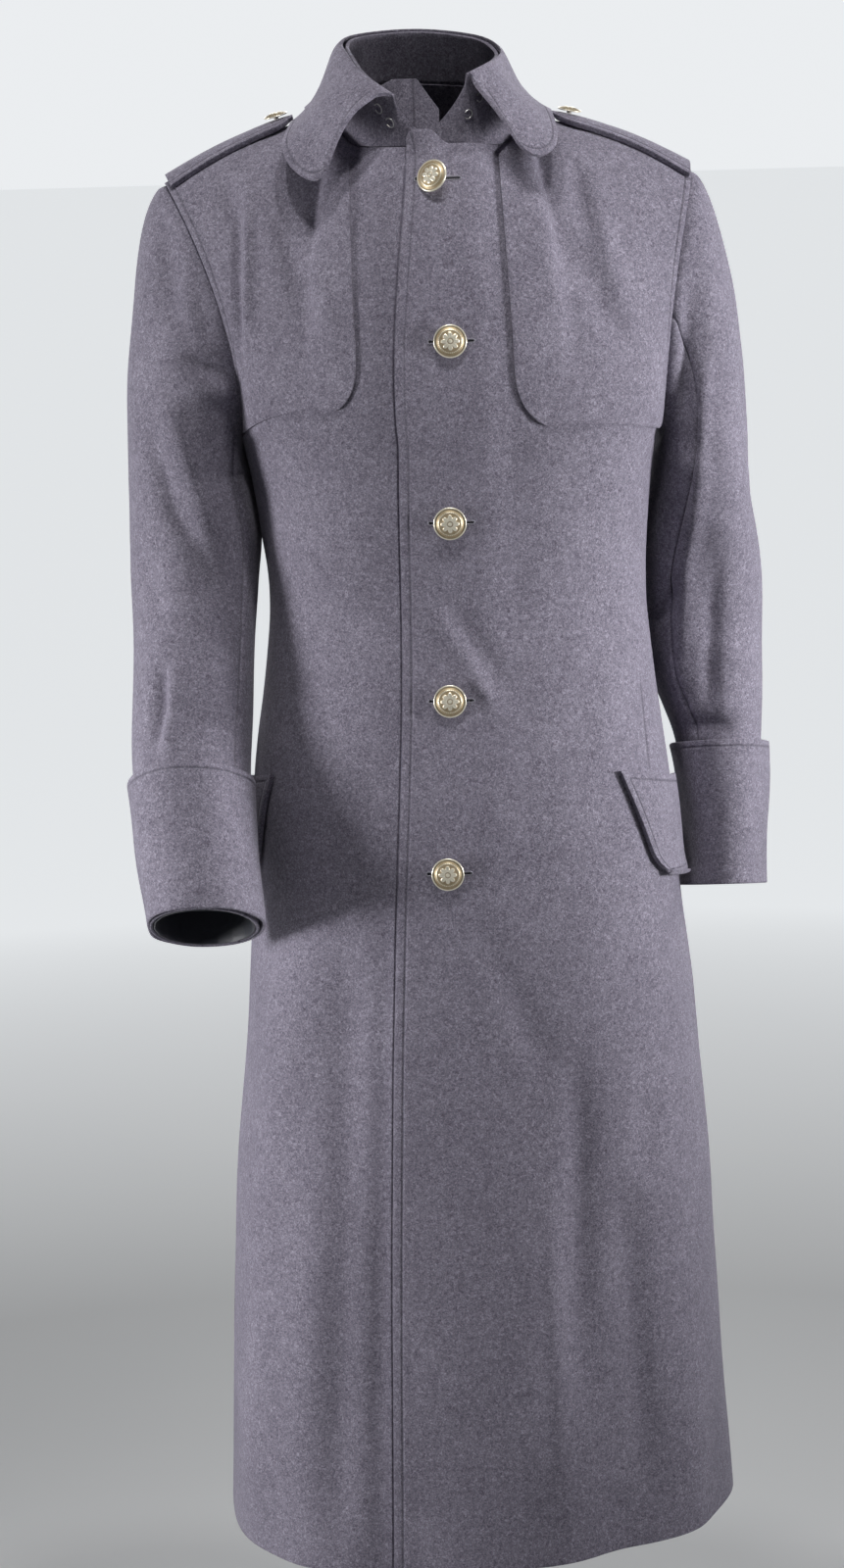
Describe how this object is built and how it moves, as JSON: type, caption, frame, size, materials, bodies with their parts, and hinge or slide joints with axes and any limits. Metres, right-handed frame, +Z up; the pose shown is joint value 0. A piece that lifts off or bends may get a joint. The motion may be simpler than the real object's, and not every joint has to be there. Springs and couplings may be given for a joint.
{
  "type": "greatcoat",
  "caption": "Long single-breasted melton greatcoat with turned-down collar, chest yokes, shoulder straps, deep cuffs and slanted pocket flaps, hollow as worn.",
  "frame": {"origin": "centre of the neckline, level with the tops of the shoulder seams, where the wearer's neck leaves the coat", "axes": "+Z up along the wearer's spine, -Y the front of the coat, +X the wearer's left"},
  "size_m": [0.5204, 0.3727, 1.2308],
  "materials": {
    "grey_melton": "matte milled wool with a short nap",
    "button_metal": "pale polished gilt, a little worn",
    "hook_wire": "plain drawn wire",
    "sleeve_lining": "dark smooth twill"
  },
  "bodies": {
    "root": {"back_left": "grey_melton", "back_right": "grey_melton", "button_1": "button_metal", "button_2": "button_metal", "button_3": "button_metal", "button_4": "button_metal", "button_5": "button_metal", "collar_fall": "grey_melton", "collar_stand": "grey_melton", "cuff_left": "grey_melton", "cuff_lining_right": "sleeve_lining", "cuff_right": "grey_melton", "eye_stand_left": "hook_wire", "eye_stand_right": "hook_wire", "front_left": "grey_melton", "front_right": "grey_melton", "hook_stand_left": "hook_wire", "hook_stand_right": "hook_wire", "pocket_flap_left": "grey_melton", "pocket_flap_right": "grey_melton", "strap_button_left": "button_metal", "strap_button_right": "button_metal", "strap_left": "grey_melton", "strap_right": "grey_melton", "throat_tab": "grey_melton", "top_sleeve_left": "grey_melton", "top_sleeve_right": "grey_melton", "under_sleeve_left": "grey_melton", "under_sleeve_right": "grey_melton", "yoke_left": "grey_melton", "yoke_right": "grey_melton"}
  },
  "joints": []
}
